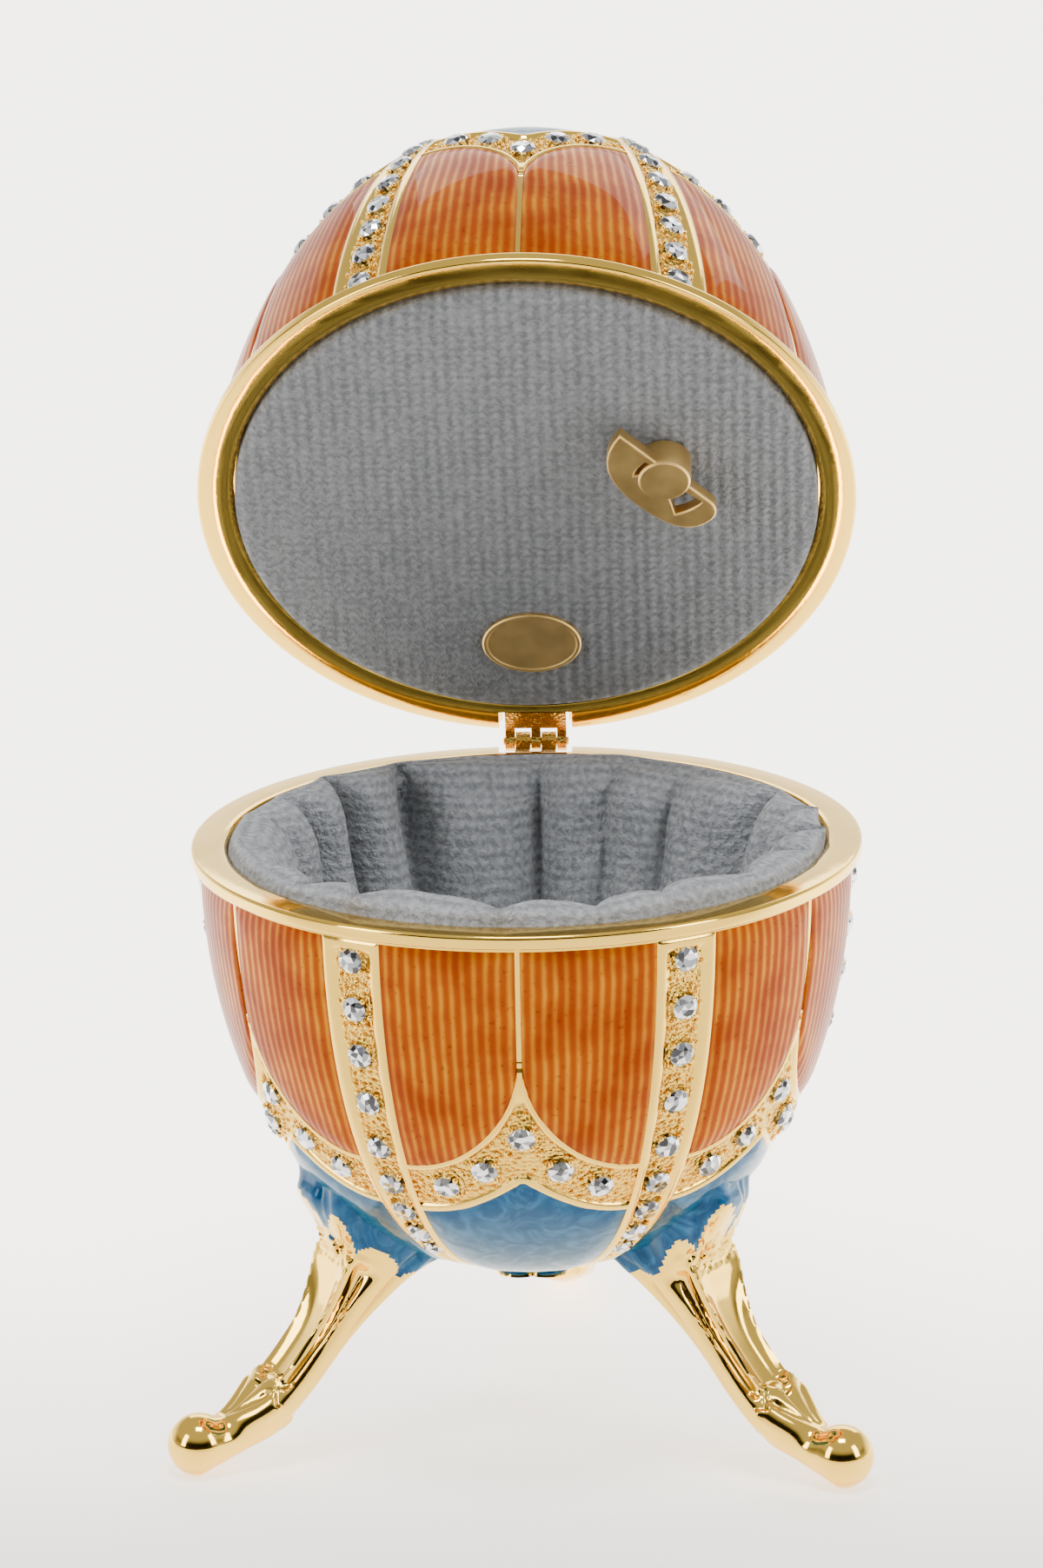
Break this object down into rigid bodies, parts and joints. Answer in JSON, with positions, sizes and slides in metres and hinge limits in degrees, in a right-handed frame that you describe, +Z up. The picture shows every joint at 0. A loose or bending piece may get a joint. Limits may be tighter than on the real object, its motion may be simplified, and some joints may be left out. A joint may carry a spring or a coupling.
{
  "type": "jewelled egg trinket box",
  "caption": "Egg-shaped enamelled metal box on curved legs, with a hinged lid, a soft lining and a wind-up key inside the lid.",
  "frame": {"origin": "middle of the bounding box's underside, on the surface the feet stand on", "axes": "+Z up, -Y towards the front, where the open lid's inside faces, +X to the right seen from the front"},
  "size_m": [0.0682, 0.089, 0.1231],
  "materials": {
    "gold": "polished gold plate",
    "brass": "satin",
    "orange_enamel": "gloss, translucent over ribbed metal",
    "blue_enamel": "gloss, pearly",
    "velour": "napped"
  },
  "bodies": {
    "base": {"bowl_casting": "gold", "bowl_orange_enamel_1": "orange_enamel", "bowl_orange_enamel_2": "orange_enamel", "bowl_blue_enamel_1": "blue_enamel", "bowl_orange_enamel_3": "orange_enamel", "bowl_orange_enamel_4": "orange_enamel", "bowl_blue_enamel_2": "blue_enamel", "bowl_orange_enamel_5": "orange_enamel", "bowl_orange_enamel_6": "orange_enamel", "bowl_blue_enamel_3": "blue_enamel", "bowl_orange_enamel_7": "orange_enamel", "bowl_orange_enamel_8": "orange_enamel", "bowl_blue_enamel_4": "blue_enamel", "bowl_orange_enamel_9": "orange_enamel", "bowl_orange_enamel_10": "orange_enamel", "bowl_blue_enamel_5": "blue_enamel", "bowl_orange_enamel_11": "orange_enamel", "bowl_orange_enamel_12": "orange_enamel", "bowl_blue_enamel_6": "blue_enamel", "bowl_rosette": "gold", "leg_back": "gold", "leg_left": "gold", "leg_right": "gold", "bowl_lining": "velour", "hinge_leaf_bowl": "gold", "hinge_pin": "gold"},
    "lid": {"lid_casting": "gold", "lid_orange_enamel_1": "orange_enamel", "lid_orange_enamel_2": "orange_enamel", "lid_blue_enamel_1": "blue_enamel", "lid_orange_enamel_3": "orange_enamel", "lid_orange_enamel_4": "orange_enamel", "lid_blue_enamel_2": "blue_enamel", "lid_orange_enamel_5": "orange_enamel", "lid_orange_enamel_6": "orange_enamel", "lid_blue_enamel_3": "blue_enamel", "lid_orange_enamel_7": "orange_enamel", "lid_orange_enamel_8": "orange_enamel", "lid_blue_enamel_4": "blue_enamel", "lid_orange_enamel_9": "orange_enamel", "lid_orange_enamel_10": "orange_enamel", "lid_blue_enamel_5": "blue_enamel", "lid_orange_enamel_11": "orange_enamel", "lid_orange_enamel_12": "orange_enamel", "lid_blue_enamel_6": "blue_enamel", "lid_rosette": "gold", "lid_pad": "velour", "lid_plate": "brass", "hinge_leaf_lid": "gold"},
    "key": {"winding_key": "brass"}
  },
  "joints": [
    {"name": "lid_hinge", "type": "hinge", "parent": "base", "child": "lid", "pos_m": [0.00112, 0.0217, 0.0595], "axis": [-1, 0, 0], "range_deg": [-59.1, 0]},
    {"name": "key_turn", "type": "hinge", "parent": "lid", "child": "key", "pos_m": [0.01472, 0.00062, 0.09385], "axis": [0, 0.8581, 0.5135], "continuous": true}
  ]
}
